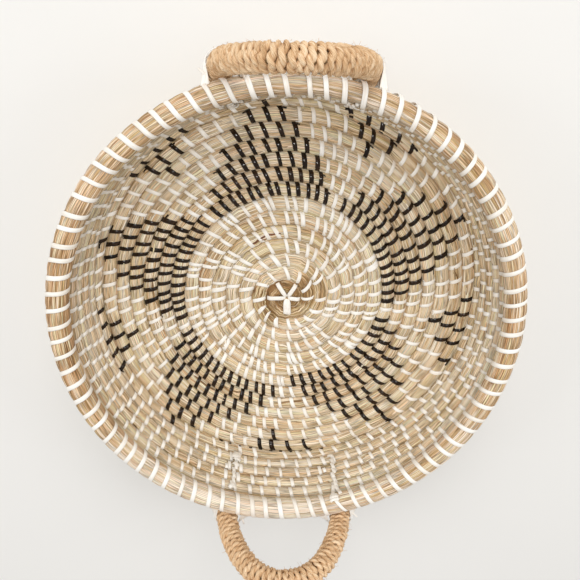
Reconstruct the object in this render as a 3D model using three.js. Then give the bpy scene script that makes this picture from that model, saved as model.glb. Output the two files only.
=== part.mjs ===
// A round serving tray of coiled seagrass, with two upright handles bound in twine.
//
// One long bundle of grass is wound in a spiral from the centre of the floor, round a bend and up
// the wall. A thicker round of grass lies on top as the rim. Each handle is a bent cane core under
// a close winding of twine. Its legs stand against the outside of the wall, and strips of the white
// stitching material tie them there. The tray stands on the flat underside of the floor.

import * as THREE from 'three';

// Driving dimensions, in millimetres, with angles in degrees.

// The grass coil.
const COIL_DIAMETER = 11;
const ROUND_GAP = 0.5;
const CENTRE_HOLE = 0.5;
const FIRST_ROUND_REACH = 10.2;
const FLOOR_RADIUS = 152;
const BEND_RADIUS = 12;
const WALL_FLARE = 6.5;
const WALL_SLANT = 48;
const UNDERSIDE_CUT = 1.1;
const START_ANGLE = -45;
const COIL_TIP = 4;
const END_CLEARANCE = 0.3;

// The rim.
const RIM_DIAMETER = 16.5;
const RIM_SEAM_ANGLE = 60;
const RIM_SCARF_ANGLE = 45;
const RIM_TIP = 3;

// The handles.
const HANDLE_HALF_SPAN = 52;
const HANDLE_FOOT_HEIGHT = 24;
const HANDLE_ARCH_RISE = 111.3;
const HANDLE_ROUNDNESS = 2.15;
const HANDLE_LEAN = 2;
const HANDLE_BEND_LENGTH = 8;
const HANDLE_CORE_DIAMETER = 8.5;
const TWINE_DIAMETER = 4.5;
const TWINE_LAPS = 35;
const TWINE_LAP_GAP = 0.6;
const SEAT_CLEARANCE = 0.35;

// The lashings that tie each leg to the wall, at two heights above its foot.
const LASHING_RISES = { lower: 9, upper: 30 };
const LASHING_WIDTH = 9;
const LASHING_THICKNESS = 0.9;

// How finely the round forms are drawn.
const ROUND_STEPS = 24;
const INNER_ROUND_STEPS = 12;
const INNER_ROUNDS = 2;
const CORE_STEPS = 26;
const CORE_SIDES = 8;
const LAP_STEPS = 6;
const LASHING_ARC_STEPS = 6;

// Sizes that follow from them.
const COIL_RADIUS = COIL_DIAMETER / 2;
const RIM_RADIUS = RIM_DIAMETER / 2;
const PITCH = COIL_DIAMETER + ROUND_GAP;
const FLOOR_LINE_HEIGHT = COIL_RADIUS - UNDERSIDE_CUT;
const BEND_ANGLE = THREE.MathUtils.degToRad(90 - WALL_FLARE);
const BEND_LENGTH = BEND_RADIUS * BEND_ANGLE;
const WALL_TOP = FLOOR_RADIUS + BEND_LENGTH + WALL_SLANT;
const HANDLE_RADIUS = HANDLE_CORE_DIAMETER / 2 + TWINE_DIAMETER;

// Cross-sections, as points of a unit shape: [along the wall, out of its face].
const COIL_SECTION = [[1, 0], [0.5, -1], [-0.5, -1], [-1, 0], [-0.5, 1], [0.5, 1]];
const RIM_SECTION = regularPolygon(8);

function regularPolygon(sides) {
  return Array.from({ length: sides }, (_, i) => {
    const angle = (2 * Math.PI * i) / sides;
    return [Math.cos(angle), -Math.sin(angle)];
  });
}

// Skins a row of rings, all with the same number of points, and closes both ends.
function loftRings(rings) {
  const count = rings[0].length;
  const positions = rings.flat().flatMap((p) => [p.x, p.y, p.z]);
  const index = [];
  for (let ring = 0; ring < rings.length - 1; ring += 1) {
    for (let i = 0; i < count; i += 1) {
      const a = ring * count + i;
      const b = ring * count + ((i + 1) % count);
      index.push(a, b, b + count, a, b + count, a + count);
    }
  }
  const last = (rings.length - 1) * count;
  for (let i = 1; i < count - 1; i += 1) {
    index.push(0, i + 1, i);
    index.push(last, last + i, last + i + 1);
  }
  const geometry = new THREE.BufferGeometry();
  geometry.setAttribute('position', new THREE.Float32BufferAttribute(positions, 3));
  geometry.setIndex(index);
  geometry.computeVertexNormals();
  return geometry;
}

// The middle line of the basket's wall in section, by its length from the centre: out along the
// floor, round the bend, then up the flared wall. Gives radius, height and slope.
function wallLine(length) {
  const onBend = THREE.MathUtils.clamp(length - FLOOR_RADIUS, 0, BEND_LENGTH);
  const onWall = Math.max(length - FLOOR_RADIUS - BEND_LENGTH, 0);
  const slope = onBend / BEND_RADIUS;
  const radius = Math.min(length, FLOOR_RADIUS) + BEND_RADIUS * Math.sin(slope) + onWall * Math.cos(slope);
  const height = FLOOR_LINE_HEIGHT + BEND_RADIUS * (1 - Math.cos(slope)) + onWall * Math.sin(slope);
  return { radius, height, slope };
}

// One ring of a grass bundle that fills the wall line from low to high, at an angle round the tray.
function bundleRing(section, angle, low, high, halfDepth) {
  const { radius, height, slope } = wallLine((low + high) / 2);
  const halfWidth = (high - low) / 2;
  const turn = THREE.MathUtils.degToRad(angle);
  return section.map(([along, out]) => {
    const r = radius + along * halfWidth * Math.cos(slope) - out * halfDepth * Math.sin(slope);
    const z = height + along * halfWidth * Math.sin(slope) + out * halfDepth * Math.cos(slope);
    return new THREE.Vector3(r * Math.cos(turn), r * Math.sin(turn), Math.max(z, 0));
  });
}

// How deep a bundle stays where it thins to a tip.
function thinnedDepth(fullRadius, width) {
  return fullRadius * (0.5 + (0.25 * width) / fullRadius);
}

// The least distance between the points of turns that lie side by side, printed with the name.
function reportLeastGap(name, rings, ringsPerTurn) {
  let least = Infinity;
  rings.forEach((ring, i) => {
    for (let j = i + Math.floor(ringsPerTurn / 2); j < rings.length; j += 1) {
      ring.forEach((p) => rings[j].forEach((q) => {
        least = Math.min(least, p.distanceTo(q));
      }));
    }
  });
  console.log(`${name}: least gap to itself ${least.toFixed(2)} mm`);
}

// The outer edge of the coil after a number of steps of a round, along the wall line.
function coilEdge(step) {
  return FIRST_ROUND_REACH + (PITCH * step) / ROUND_STEPS;
}

// Rings of the coil between two steps. Inner rounds take every second step.
function coilRings(firstStep, lastStep) {
  const stride = ROUND_STEPS / INNER_ROUND_STEPS;
  const rings = [];
  for (let step = firstStep; step <= lastStep; step += 1) {
    const inner = step < INNER_ROUNDS * ROUND_STEPS;
    if (!inner || step % stride === 0 || step === firstStep) {
      const low = Math.max(coilEdge(step - ROUND_STEPS) + ROUND_GAP, CENTRE_HOLE);
      const high = Math.min(coilEdge(step), WALL_TOP);
      const angle = START_ANGLE + (360 * step) / ROUND_STEPS;
      const depth = Math.min(COIL_RADIUS, thinnedDepth(COIL_RADIUS, high - low));
      rings.push(bundleRing(COIL_SECTION, angle, low, high, depth));
    }
  }
  return rings;
}

// The step at which the coil's middle line reaches a length along the wall line.
function stepAt(length) {
  return Math.round(((length + COIL_RADIUS - FIRST_ROUND_REACH) / PITCH) * ROUND_STEPS);
}

const FLOOR_START_STEP = stepAt(CENTRE_HOLE + COIL_TIP - COIL_RADIUS);
const FLOOR_END_STEP = stepAt(FLOOR_RADIUS);
const WALL_END_STEP = stepAt(WALL_TOP + COIL_RADIUS - COIL_TIP);

// Starts as a thin tip at the centre, which the first round closes in on.
function floorCoil() {
  const rings = coilRings(FLOOR_START_STEP, FLOOR_END_STEP);
  const inner = rings.length - (FLOOR_END_STEP - INNER_ROUNDS * ROUND_STEPS + 1);
  reportLeastGap('floor_coil, inner rounds', rings.slice(0, inner + 1), INNER_ROUND_STEPS);
  reportLeastGap('floor_coil, outer rounds', rings.slice(inner), ROUND_STEPS);
  return loftRings(rings);
}

// Starts face to face with the floor coil and thins away under the rim.
function wallCoil() {
  const rings = coilRings(FLOOR_END_STEP, WALL_END_STEP);
  const apart = END_CLEARANCE / (FLOOR_RADIUS - COIL_RADIUS);
  rings[0].forEach((p) => p.applyAxisAngle(new THREE.Vector3(0, 0, 1), apart));
  reportLeastGap('wall_coil', rings, ROUND_STEPS);
  return loftRings(rings);
}

// One thick round on the wall's top edge. Its two ends are wedges that lie one on the other.
function rimCoil() {
  const low = WALL_TOP + ROUND_GAP;
  const high = low + RIM_DIAMETER;
  const growth = RIM_DIAMETER - 2 * RIM_TIP - ROUND_GAP;
  const rings = [];
  for (let step = 0; step <= ROUND_STEPS * (1 + RIM_SCARF_ANGLE / 360); step += 1) {
    const angle = (360 * step) / ROUND_STEPS;
    const start = angle / RIM_SCARF_ANGLE;
    const end = (angle - 360) / RIM_SCARF_ANGLE;
    const top = start <= 1 ? low + RIM_TIP + growth * start : high;
    const bottom = end >= 0 ? low + RIM_TIP + ROUND_GAP + growth * end : low;
    const depth = Math.min(RIM_RADIUS, thinnedDepth(RIM_RADIUS, top - bottom));
    rings.push(bundleRing(RIM_SECTION, RIM_SEAM_ANGLE + angle, bottom, top, depth));
  }
  reportLeastGap('rim_coil', rings, ROUND_STEPS);
  return loftRings(rings);
}

// The outer face of the wall at a height.
function wallFaceRadius(height) {
  const base = wallLine(FLOOR_RADIUS + BEND_LENGTH);
  return base.radius + (height - base.height) / Math.tan(base.slope) + COIL_RADIUS / Math.sin(base.slope);
}

// The middle line of a handle, an arch from foot to foot. Below the rim it leans as the wall does,
// so that the legs stand against it, and above the rim it is nearly upright.
class HandleLine extends THREE.Curve {
  constructor() {
    super();
    const rim = wallLine(WALL_TOP + ROUND_GAP + RIM_RADIUS);
    this.rimHeight = rim.height;
    this.rimStandoff = this.legStandoff(rim.height, rim.radius + RIM_RADIUS);
    const footStandoff = this.legStandoff(HANDLE_FOOT_HEIGHT, wallFaceRadius(HANDLE_FOOT_HEIGHT));
    this.legSlope = (this.rimStandoff - footStandoff) / (rim.height - HANDLE_FOOT_HEIGHT);
    this.archSlope = Math.tan(THREE.MathUtils.degToRad(HANDLE_LEAN));
  }

  // How far the arch has swept from the foot when a leg reaches a height.
  sweepAt(height) {
    return Math.asin(((height - HANDLE_FOOT_HEIGHT) / HANDLE_ARCH_RISE) ** (HANDLE_ROUNDNESS / 2));
  }

  spread(sweep) {
    return HANDLE_HALF_SPAN * Math.abs(Math.cos(sweep)) ** (2 / HANDLE_ROUNDNESS);
  }

  // Where the wrapped leg stands so that it rests on a round face at a height.
  legStandoff(height, faceRadius) {
    const reach = faceRadius + SEAT_CLEARANCE + HANDLE_RADIUS;
    return Math.sqrt(reach ** 2 - this.spread(this.sweepAt(height)) ** 2);
  }

  standoff(height) {
    const above = (height - this.rimHeight) / HANDLE_BEND_LENGTH;
    const easing = HANDLE_BEND_LENGTH * (Math.log1p(Math.exp(above)) - Math.LN2);
    const leg = this.rimStandoff + this.legSlope * (height - this.rimHeight);
    return leg + (this.archSlope - this.legSlope) * easing;
  }

  getPoint(t, target = new THREE.Vector3()) {
    const sweep = Math.PI * t;
    const x = Math.sign(Math.cos(sweep)) * this.spread(sweep);
    const rise = HANDLE_ARCH_RISE * Math.max(Math.sin(sweep), 0) ** (2 / HANDLE_ROUNDNESS);
    const z = HANDLE_FOOT_HEIGHT + rise;
    return target.set(x, this.standoff(z), z);
  }
}

const handleLine = new HandleLine();
handleLine.arcLengthDivisions = 4000;

// The handle's middle line at a share of its length, with axes along it, out of the arch and
// across the arch's plane, and with how sharply it bends, as an arrow towards the bend's inside.
function handleFrame(share) {
  const small = 0.008;
  const at = THREE.MathUtils.clamp(share, small, 1 - small);
  const point = handleLine.getPointAt(share);
  const middle = handleLine.getPointAt(at);
  const forward = handleLine.getPointAt(at + small).sub(middle);
  const backward = middle.clone().sub(handleLine.getPointAt(at - small));
  const along = forward.clone().add(backward).normalize();
  const across = new THREE.Vector3(0, 1, 0).addScaledVector(along, -along.y).normalize();
  const out = along.clone().cross(across).normalize();
  const bend = forward.clone().normalize().sub(backward.clone().normalize());
  bend.divideScalar(small * handleLine.getLength());
  return { point, along, across, out, bend };
}

function handleCore() {
  const section = regularPolygon(CORE_SIDES);
  const radius = HANDLE_CORE_DIAMETER / 2;
  const rings = [];
  for (let step = 0; step <= CORE_STEPS; step += 1) {
    const { point, across, out } = handleFrame(step / CORE_STEPS);
    rings.push(section.map(([a, b]) => point.clone()
      .addScaledVector(out, a * radius)
      .addScaledVector(across, b * radius)));
  }
  return loftRings(rings);
}

// The twine, wound round the core from foot to foot. Each lap is squeezed on the inside of the
// arch and spread on the outside, so that neighbours keep one even gap.
function handleWrap(name) {
  const pitch = handleLine.getLength() / (TWINE_LAPS + 1);
  const inner = (HANDLE_CORE_DIAMETER / 2 + SEAT_CLEARANCE) / Math.cos(Math.PI / LAP_STEPS);
  const middle = (inner + HANDLE_RADIUS) / 2;
  const rings = [];
  for (let step = 0; step <= TWINE_LAPS * LAP_STEPS; step += 1) {
    const share = (step / LAP_STEPS + 0.5) / (TWINE_LAPS + 1);
    const { point, along, across, out, bend } = handleFrame(share);
    const angle = (2 * Math.PI * step) / LAP_STEPS;
    const radial = across.clone().multiplyScalar(-Math.cos(angle)).addScaledVector(out, Math.sin(angle));
    const stretch = 1 - middle * radial.dot(bend);
    const halfWidth = (pitch * stretch - TWINE_LAP_GAP) / 2;
    rings.push([
      point.clone().addScaledVector(radial, HANDLE_RADIUS),
      point.clone().addScaledVector(radial, middle).addScaledVector(along, halfWidth),
      point.clone().addScaledVector(radial, inner),
      point.clone().addScaledVector(radial, middle).addScaledVector(along, -halfWidth),
    ]);
  }
  reportLeastGap(name, rings, LAP_STEPS);
  return loftRings(rings);
}

// A flat strip round the outside of one leg, with both ends at the wall.
function lashing(side, height) {
  const sweep = handleLine.sweepAt(height);
  const leg = handleLine.getPoint(sweep / Math.PI);
  const above = handleLine.getPoint((sweep + 0.02) / Math.PI);
  const up = above.sub(handleLine.getPoint((sweep - 0.02) / Math.PI));
  leg.x *= side;
  up.x *= side;
  up.normalize();
  const out = new THREE.Vector3(leg.x, leg.y, 0);
  out.addScaledVector(up, -out.dot(up)).normalize();
  const across = up.clone().cross(out);
  const inner = (HANDLE_RADIUS + SEAT_CLEARANCE) / Math.cos(Math.PI / (2 * LASHING_ARC_STEPS));
  const middle = inner + LASHING_THICKNESS / 2;
  const rings = [];
  const addRing = (centre, normal) => {
    rings.push([[-1, -1], [1, -1], [1, 1], [-1, 1]].map(([a, b]) => centre.clone()
      .addScaledVector(normal, (a * LASHING_THICKNESS) / 2)
      .addScaledVector(up, (b * LASHING_WIDTH) / 2)));
  };
  const addEnd = (normal) => {
    const end = leg.clone().addScaledVector(normal, middle);
    const face = wallFaceRadius(height) + SEAT_CLEARANCE;
    end.addScaledVector(out, face - Math.hypot(end.x, end.y));
    addRing(end, normal);
  };
  addEnd(across.clone());
  for (let step = 0; step <= LASHING_ARC_STEPS; step += 1) {
    const angle = (Math.PI * step) / LASHING_ARC_STEPS;
    const normal = across.clone().multiplyScalar(Math.cos(angle)).addScaledVector(out, Math.sin(angle));
    addRing(leg.clone().addScaledVector(normal, middle), normal);
  }
  addEnd(across.clone().negate());
  return loftRings(rings);
}

const grass = () => new THREE.MeshStandardMaterial({ color: 0xc9a877, roughness: 0.75, metalness: 0 });
const rimGrass = () => new THREE.MeshStandardMaterial({ color: 0xcfae82, roughness: 0.72, metalness: 0 });
const cane = () => new THREE.MeshStandardMaterial({ color: 0xb98e5a, roughness: 0.6, metalness: 0 });
const twine = () => new THREE.MeshStandardMaterial({ color: 0xd0a06a, roughness: 0.9, metalness: 0 });
const whiteStrip = () => new THREE.MeshStandardMaterial({ color: 0xf4ece2, roughness: 0.45, metalness: 0 });

function piece(name, geometry, material) {
  const mesh = new THREE.Mesh(geometry, material);
  mesh.name = name;
  return mesh;
}

// One handle with its two legs' lashings, on the tray's back, or turned half round to the front.
function handle(place, turn) {
  const group = new THREE.Group();
  group.rotation.z = turn;
  group.add(piece(`${place}_handle_core`, handleCore(), cane()));
  const wrapName = `${place}_handle_wrap`;
  group.add(piece(wrapName, handleWrap(wrapName), twine()));
  for (const [leg, side] of [['left', -1], ['right', 1]]) {
    const name = turn === 0 ? leg : { left: 'right', right: 'left' }[leg];
    for (const [level, rise] of Object.entries(LASHING_RISES)) {
      const strip = lashing(side, HANDLE_FOOT_HEIGHT + rise);
      group.add(piece(`${place}_${name}_${level}_lashing`, strip, whiteStrip()));
    }
  }
  return group;
}

const tray = new THREE.Group();
tray.add(piece('floor_coil', floorCoil(), grass()));
tray.add(piece('wall_coil', wallCoil(), grass()));
tray.add(piece('rim_coil', rimCoil(), rimGrass()));
tray.add(handle('back', 0));
tray.add(handle('front', Math.PI));

export default tray;
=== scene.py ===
# A round serving tray of coiled seagrass with a low wall, stitched in white and black strips, and
# two upright loop handles bound in twine. The script follows the making of the real one: the coil
# of grass and its rim, the stitches, the handles and what ties them on, then table, lamps, camera.

import bpy
import numpy as np
from mathutils import Matrix, Vector


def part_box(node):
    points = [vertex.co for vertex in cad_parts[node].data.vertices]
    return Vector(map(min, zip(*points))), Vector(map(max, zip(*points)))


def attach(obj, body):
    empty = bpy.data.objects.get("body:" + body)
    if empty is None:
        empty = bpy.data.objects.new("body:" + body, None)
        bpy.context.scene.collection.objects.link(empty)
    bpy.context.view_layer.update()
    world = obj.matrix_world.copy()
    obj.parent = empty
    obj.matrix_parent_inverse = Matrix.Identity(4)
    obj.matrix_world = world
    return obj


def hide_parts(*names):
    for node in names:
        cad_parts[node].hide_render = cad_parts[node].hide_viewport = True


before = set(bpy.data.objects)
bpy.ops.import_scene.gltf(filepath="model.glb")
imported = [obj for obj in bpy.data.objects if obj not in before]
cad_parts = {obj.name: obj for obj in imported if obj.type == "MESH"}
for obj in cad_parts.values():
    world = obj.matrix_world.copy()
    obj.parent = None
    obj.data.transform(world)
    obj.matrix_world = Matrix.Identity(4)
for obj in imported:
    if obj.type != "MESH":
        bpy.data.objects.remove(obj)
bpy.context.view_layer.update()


# The stitches' places. The maker stitches each round of the coil to the one before it, with a few
# stitches at the centre and more in each round. From the seventh round on there are seventy, in
# five sectors of fourteen, and on the wall eighty-five. Each stitch stands above the one before.

START_ANGLE = -45.0
STAR_TURNS = np.array([0.106, 0.283, 0.469, 0.633, 0.880])
INNER_TURNS = [1, 2, 3, 4, 5, 6, 6.9]
INNER_STITCHES = [10, 17, 24, 34, 44, 55, 62]
PATTERN_START = 6.875
PATTERN_ROUNDS = 7
PATTERN_CLEAR = 0.008
TRIANGLE_START = 4
SECTOR_STITCHES = 14
SECTOR_ANGLES = np.array([268.0, 351.0, 425.0, 493.7, 558.0, 628.0])
SECTOR_DRIFT = 0.5
WALL_STITCHES = 85.15
COIL_END = 19.0
UNSTITCHED_END = 0.36
UNEVENNESS = 0.07

chance = np.random.default_rng(7)


def inner_stitches():
    """Turns of the plain inner rounds' stitches, and which were slipped in. Each stitch follows its
    forerunner one turn on, and a new one is slipped in between wherever the round has room."""
    places = list(STAR_TURNS)
    added = [False] * len(places)
    end = PATTERN_START - PATTERN_CLEAR
    spare = 0.0
    i = 0
    while places[i] + 1 < end:
        here, gap = places[i] + 1, places[i + 1] - places[i]
        spare += gap * np.interp(here, INNER_TURNS, INNER_STITCHES) - 1
        extra = max(int(np.floor(spare + 0.5)), 0)
        spare -= extra
        places += [here + gap * k / (extra + 1) for k in range(extra + 1)]
        added += [k > 0 for k in range(extra + 1)]
        i += 1
    keep = np.array(places) < end
    return np.array(places)[keep], np.array(added)[keep]


def is_black(ring, sector, place):
    """Five petals that lose a stitch at each side in every round, and between them five small
    triangles that gain one, from the fifth round on. At the front, where each sector's round meets
    the next, four stitches of the triangle stayed white."""
    petal = (place >= ring + 1) & (place <= SECTOR_STITCHES - 1 - ring)
    triangle = np.minimum(place, SECTOR_STITCHES - place) <= ring - TRIANGLE_START
    left_white = (sector == 0) & (ring < 6) & (place == ring - TRIANGLE_START)
    left_white |= (sector == 4) & (ring == 6) & (place > 11)
    return petal | triangle & ~left_white


def pattern_stitches():
    """Turns of the patterned rounds' stitches, and which are black. The places divide a sector
    evenly, and each round lies slightly back."""
    parts = np.arange(PATTERN_ROUNDS), np.arange(len(SECTOR_ANGLES) - 1), np.arange(SECTOR_STITCHES)
    ring, sector, place = (part.ravel() for part in np.meshgrid(*parts, indexing="ij"))
    start, end = SECTOR_ANGLES[sector], SECTOR_ANGLES[sector + 1]
    angle = start + (end - start) * place / SECTOR_STITCHES - SECTOR_DRIFT * ring
    return int(PATTERN_START) + ring + (angle - START_ANGLE) / 360, is_black(ring, sector, place)


inner_turns, inner_added = inner_stitches()
pattern_turns, pattern_black = pattern_stitches()
wall_turns = np.arange(PATTERN_START + PATTERN_ROUNDS, COIL_END - UNSTITCHED_END, 1 / WALL_STITCHES)
stitch_turn = np.concatenate([inner_turns, pattern_turns, wall_turns])
stitch_black = np.pad(pattern_black, (len(inner_turns), len(wall_turns)))
stitch_added = np.pad(inner_added, (0, len(pattern_turns) + len(wall_turns)))
in_star = np.arange(len(stitch_turn)) < len(STAR_TURNS)
stray = chance.normal(0, UNEVENNESS, np.sum(~in_star))
stitch_turn[~in_star] += stray * np.gradient(stitch_turn)[~in_star]
order = np.argsort(stitch_turn)
stitch_turn, stitch_black, stitch_added = stitch_turn[order], stitch_black[order], stitch_added[order]
stitch_gap = np.append(np.diff(stitch_turn), 1 / WALL_STITCHES)


# The coil of grass. One long bundle of dry seagrass blades is wound in a spiral from the middle of
# the floor, round a bend and up the wall, where it thins away under the rim. Every round is pressed
# square between its neighbours, flat on its underside, and drawn in where a stitch crosses it.

MM = 0.001
PITCH = 11.5
FIRST_REACH = 10.45
COIL_DEPTH = 5.5
COIL_GIRTH = 34.0
COIL_TIP = 0.4
FULLNESS = 2.15
OVERLAP = 0.25
UNDER_RIM = 0.25
FLOOR_RADIUS = 152.0
BEND_RADIUS = 12.0
BEND_ANGLE = np.radians(83.5)
WALL_SLANT = 48.0
WALL_TOP_RADIUS = 169.5
CENTRE_DRIFT = 3.2
DRIFT_REACH = 62.0
LINE_HEIGHT = 4.4
LOWEST = 0.45
WALL_FOOT = FLOOR_RADIUS + BEND_RADIUS * BEND_ANGLE
WALL_FOOT_HEIGHT = LINE_HEIGHT + BEND_RADIUS * (1 - np.cos(BEND_ANGLE))
WALL_TOP = WALL_FOOT + WALL_SLANT
COIL_START = 0.04 - FIRST_REACH / PITCH
MIDDLE_END = 9.2
FLOOR_END = 307 / 24
WALL_MIDDLE = 15.8
BLADES_ROUND = 26
BLADE_SPREAD = 45.0
BLADE_RISE = 0.42
SUNK = 0.15
SHORTER_BLADES = 1.2
SHORTER_UNTIL = 170.0
STITCH_PULL = 0.95
STITCH_PULL_WIDTH = 2.3
LEAST_GIRTH = 25.0
LEAN_CURVE = 1.4
LEAN_TURNS = [0, 1, 3, 7, 12, 13.7, 14.2, 19]
LEANS = [0, 3.6, 3.8, 3.0, 4.6, 4.6, 2.6, 2.6]
CENTRE_FULLER = 0.9
TIP_LENGTH = 90
DARK_TONE = 2.4
DARK_TURNS = 1.05
PATCH_TURNS = 2.3
TONE_STEP = 85.0


def tray_point(length, out, turn, lowest=LOWEST):
    """A point of the tray's body. The length runs along the middle of the tray's section: out from
    the centre, round the bend and up the wall. Out lifts the point square from there, to the upper
    or inner side, and the turn swings it round the tray. Nothing is lower than lowest. The middle
    of the floor has drifted a little to the front."""
    on_bend = np.clip(length - FLOOR_RADIUS, 0, BEND_RADIUS * BEND_ANGLE)
    on_wall = np.maximum(length - FLOOR_RADIUS - BEND_RADIUS * BEND_ANGLE, 0)
    slope = on_bend / BEND_RADIUS
    radius = np.minimum(length, FLOOR_RADIUS) + BEND_RADIUS * np.sin(slope) + on_wall * np.cos(slope)
    height = LINE_HEIGHT + BEND_RADIUS * (1 - np.cos(slope)) + on_wall * np.sin(slope)
    radius = np.maximum(radius - out * np.sin(slope), 0)
    height = np.maximum(height + out * np.cos(slope), lowest)
    angle = np.radians(START_ANGLE + 360 * turn)
    drift = CENTRE_DRIFT * np.exp(-((radius / DRIFT_REACH) ** 2))
    return MM * np.stack([radius * np.cos(angle), radius * np.sin(angle) - drift, height], -1)


def skin_point(middle, reach, angle, turn, lowest=LOWEST):
    """A point on a bundle's skin, by its reach and direction from the bundle's middle line."""
    return tray_point(middle + reach * np.cos(angle), reach * np.sin(angle), turn, lowest)


def hand_laid(turn):
    """How far the outer edge of a round strays from an even spiral, in millimetres: three waves."""
    waves = (0.40, 46.3, 1.0), (0.28, 107.9, 2.0), (0.16, 263.0, 0.0)
    return sum(height * np.sin(pace * turn + start) for height, pace, start in waves)


def coil_section(turn):
    """Middle, half width and half depth of the coil after so many turns. It grows from a tip at the
    centre, each round fills one pitch, and the last is cut short by the rim. The coil gets
    shallower where it gets narrow."""
    low = np.maximum(FIRST_REACH + PITCH * (turn - 1) + hand_laid(turn - 1), 0)
    high = np.minimum(FIRST_REACH + PITCH * turn + hand_laid(turn), WALL_TOP + UNDER_RIM)
    high = np.maximum(high, low + COIL_TIP)
    depth = np.minimum(COIL_DEPTH, COIL_DEPTH * 0.5 + 0.25 * (high - low))
    return (low + high) / 2, (high - low) / 2, depth


def reach_of_bundle(angle, half_width, half_depth, fullness=FULLNESS):
    """How far a bundle's skin is from its middle line in one direction: an oval, squarer for a
    higher fullness."""
    across = np.abs(np.cos(angle)) / half_width
    through = np.abs(np.sin(angle)) / half_depth
    return (across**fullness + through**fullness) ** (-1 / fullness)


def directions(sides):
    """Even directions round a bundle, from its underside to the outer side and on, to half a turn
    either way."""
    angle = np.linspace(0, 2 * np.pi, sides, endpoint=False) - np.pi / 2
    return np.angle(np.exp(1j * angle))


def blades(travel, angle, count, seed):
    """The relief of the grass blades on a bundle: so many lens-shaped ridges side by side, which
    wander round the bundle and rise and sink at random along it."""
    draw = np.random.default_rng(seed)
    knots = np.arange(int(travel.max() / BLADE_SPREAD) + 3) * BLADE_SPREAD
    wander = np.interp(travel, knots, draw.normal(0, 0.28, len(knots)))[:, None]
    crowd = 0.45 * np.sin(2 * angle + 1.0) + 0.3 * np.sin(3 * angle + 4.0)
    place = angle / (2 * np.pi) * count + crowd + wander
    blade = np.floor(place).astype(int) % count
    rise = draw.random((len(knots), count)) ** 1.6
    at = np.clip((travel / BLADE_SPREAD).astype(int), 0, len(knots) - 2)[:, None]
    share = (travel / BLADE_SPREAD)[:, None] - at
    height = rise[at, blade] * (1 - share) + rise[at + 1, blade] * share
    return height * (1 - 4 * (place - np.floor(place) - 0.5) ** 2)


def from_nearest(turn, stitches):
    """How far each turn is from the nearest stitch."""
    after = np.clip(np.searchsorted(stitches, turn), 1, len(stitches) - 1)
    return np.minimum(np.abs(turn - stitches[after]), np.abs(turn - stitches[after - 1]))


def stitch_lean(turn):
    """How far along the coil a stitch leans from its inner to its outer end, in millimetres: more
    in the outer floor, and less on the wall."""
    return np.interp(turn, LEAN_TURNS, LEANS)


def mesh_piece(name, points, faces, lay, tone):
    """A mesh from arrays of points, four-cornered faces, a pair of pattern coordinates for each
    face's corner, and a tone for each point."""
    mesh = bpy.data.meshes.new(name)
    mesh.vertices.add(len(points))
    mesh.vertices.foreach_set("co", np.float32(points).ravel())
    mesh.loops.add(faces.size)
    mesh.loops.foreach_set("vertex_index", np.int32(faces).ravel())
    mesh.polygons.add(len(faces))
    mesh.polygons.foreach_set("loop_start", np.arange(0, faces.size, 4, dtype=np.int32))
    mesh.polygons.foreach_set("loop_total", np.full(len(faces), 4, np.int32))
    mesh.polygons.foreach_set("use_smooth", np.full(len(faces), True))
    mesh.uv_layers.new(name="lay").data.foreach_set("uv", np.float32(lay).ravel())
    # The tone varies the colour at random, and on the rim and the twine it also carries painted light and
    # shade.
    mesh.attributes.new("tone", "FLOAT", "POINT").data.foreach_set("value", np.float32(tone).ravel())
    mesh.update()
    mesh.validate()
    piece = bpy.data.objects.new(name, mesh)
    bpy.context.scene.collection.objects.link(piece)
    return piece


def tube_faces(rings, sides):
    """Four-cornered faces of a tube of so many rings and sides, and the ring and side of each of
    their corners. Both ends are closed by a row of flat faces."""
    ring, side = np.meshgrid(np.arange(rings - 1), np.arange(sides), indexing="ij")
    corners = (ring, side), (ring, side + 1), (ring + 1, side + 1), (ring + 1, side)
    places = np.stack([np.stack(corner, -1) for corner in corners], -2).reshape(-1, 4, 2)
    walls = places[..., 0] * sides + places[..., 1] % sides
    k = np.arange(sides // 2 - 1)
    near = np.stack([k, sides - 1 - k, sides - 2 - k, k + 1], -1)
    caps = np.concatenate([near, near[:, ::-1] + (rings - 1) * sides])
    cap_places = np.stack([caps // sides, caps % sides], -1)
    return np.concatenate([walls, caps]), np.concatenate([places, cap_places])


def grass_bundle(name, turn, travel, middle, reach, tone, girth):
    """A bundle's skin. At each turn a closed section is laid round the middle, with a reach for
    each direction, and the sections are joined as a tube."""
    sides = reach.shape[1]
    points = skin_point(middle[:, None], np.maximum(reach, 0.1), directions(sides), turn[:, None])
    faces, places = tube_faces(len(turn), sides)
    lay = np.stack([travel[places[..., 0]], places[..., 1] / sides * girth], -1) * MM
    return mesh_piece(name, points.reshape(-1, 3), faces[:, ::-1], lay[:, ::-1], np.repeat(tone, sides))


coil_turns = np.linspace(COIL_START, COIL_END, 60000)
coil_middle = coil_section(coil_turns)[0]
coil_radius = np.interp(coil_middle, [0, FLOOR_RADIUS, WALL_TOP], [0, FLOOR_RADIUS, WALL_TOP_RADIUS])
coil_steps = np.diff(coil_turns) * np.pi * (coil_radius[1:] + coil_radius[:-1])
coil_travel = np.concatenate([[0], np.cumsum(coil_steps)])
tone_knots = np.arange(0, coil_travel[-1] + 200, TONE_STEP)
tone_steps = chance.normal(0, 0.35, len(tone_knots))


def girth_at(turn):
    """How long a full round of the coil's middle would be at a turn."""
    return 2 * np.pi * np.interp(turn, coil_turns, coil_radius)


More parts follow.
